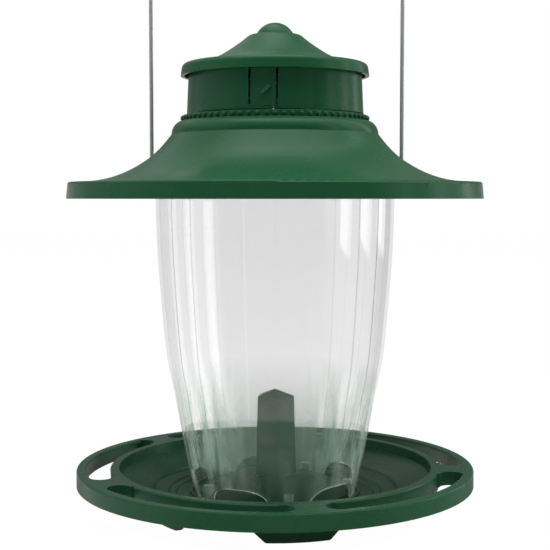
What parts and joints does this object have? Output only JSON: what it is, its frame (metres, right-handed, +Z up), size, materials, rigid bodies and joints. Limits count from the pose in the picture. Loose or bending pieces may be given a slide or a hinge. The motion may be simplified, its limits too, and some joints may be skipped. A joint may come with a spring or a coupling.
{
  "type": "hanging gravity seed feeder",
  "caption": "Hanging lantern-shaped gravity seed feeder: clear fluted jar between a flared green roof and a green tray with a perch ring, on a steel wire bail.",
  "frame": {"origin": "centre of the plane the five feet stand on, on the axis of the jar", "axes": "+Z up along the jar's axis, -Y towards the front with the front latch, +X to the right seen from the front; the latches and the wire legs, square to them, are turned 7.3 degrees clockwise, seen from above, from the Y and X axes"},
  "size_m": [0.2444, 0.2444, 0.4551],
  "materials": {
    "green_plastic": "semi-gloss moulded",
    "clear_plastic": "clear gloss moulded polystyrene",
    "steel_wire": "drawn galvanised wire",
    "zinc_steel": "zinc plated"
  },
  "bodies": {
    "base": {"seed_tray": "green_plastic", "tray_screws": "zinc_steel", "seed_baffle": "green_plastic", "baffle_screw": "zinc_steel", "reservoir": "clear_plastic", "hanger_wire": "steel_wire"},
    "roof": {"roof_cover": "green_plastic", "top_cap": "green_plastic", "cap_screws": "zinc_steel"},
    "front_latch": {"latch_tab_front": "green_plastic"},
    "rear_latch": {"latch_tab_rear": "green_plastic"}
  },
  "joints": [
    {"name": "roof_lift", "type": "slide", "parent": "base", "child": "roof", "axis": [0, 0, 1], "range_m": [0, 0.1]},
    {"name": "front_latch_press", "type": "hinge", "parent": "roof", "child": "front_latch", "pos_m": [-0.00623, -0.0486, 0.2412], "axis": [-0.9919, 0.1271, 0], "range_deg": [0, 8]},
    {"name": "rear_latch_press", "type": "hinge", "parent": "roof", "child": "rear_latch", "pos_m": [0.00623, 0.0486, 0.2412], "axis": [0.9919, -0.1271, 0], "range_deg": [0, 8]}
  ]
}
